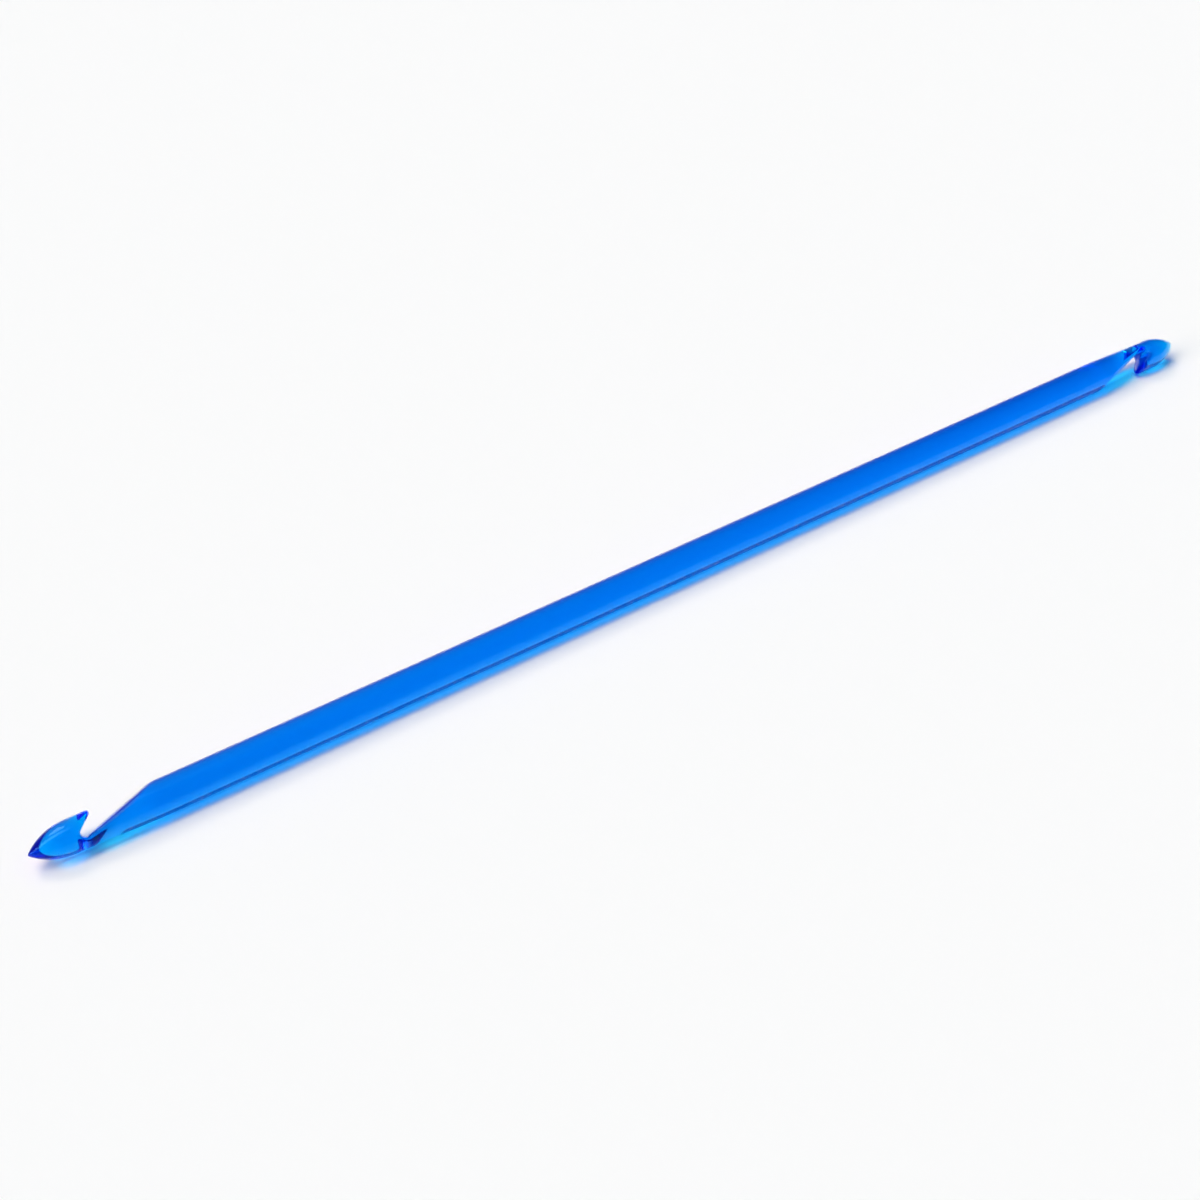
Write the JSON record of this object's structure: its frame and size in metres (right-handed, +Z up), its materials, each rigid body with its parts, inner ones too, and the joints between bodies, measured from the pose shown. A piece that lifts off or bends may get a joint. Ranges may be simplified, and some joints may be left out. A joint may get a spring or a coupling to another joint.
{
  "type": "tunisian crochet hook",
  "caption": "Long double-ended Tunisian crochet hook in clear blue plastic, with a pointed head and an undercut throat at each end.",
  "frame": {"origin": "centre of the length, on the table line under the shaft's axis", "axes": "+X along the shaft from the first head to the second, +Z up off the table"},
  "size_m": [0.27, 0.0066, 0.0065],
  "materials": {
    "clear_blue_plastic": "polished transparent moulded plastic"
  },
  "bodies": {
    "root": {"first_hook": "clear_blue_plastic", "shaft": "clear_blue_plastic", "second_hook": "clear_blue_plastic"}
  },
  "joints": []
}
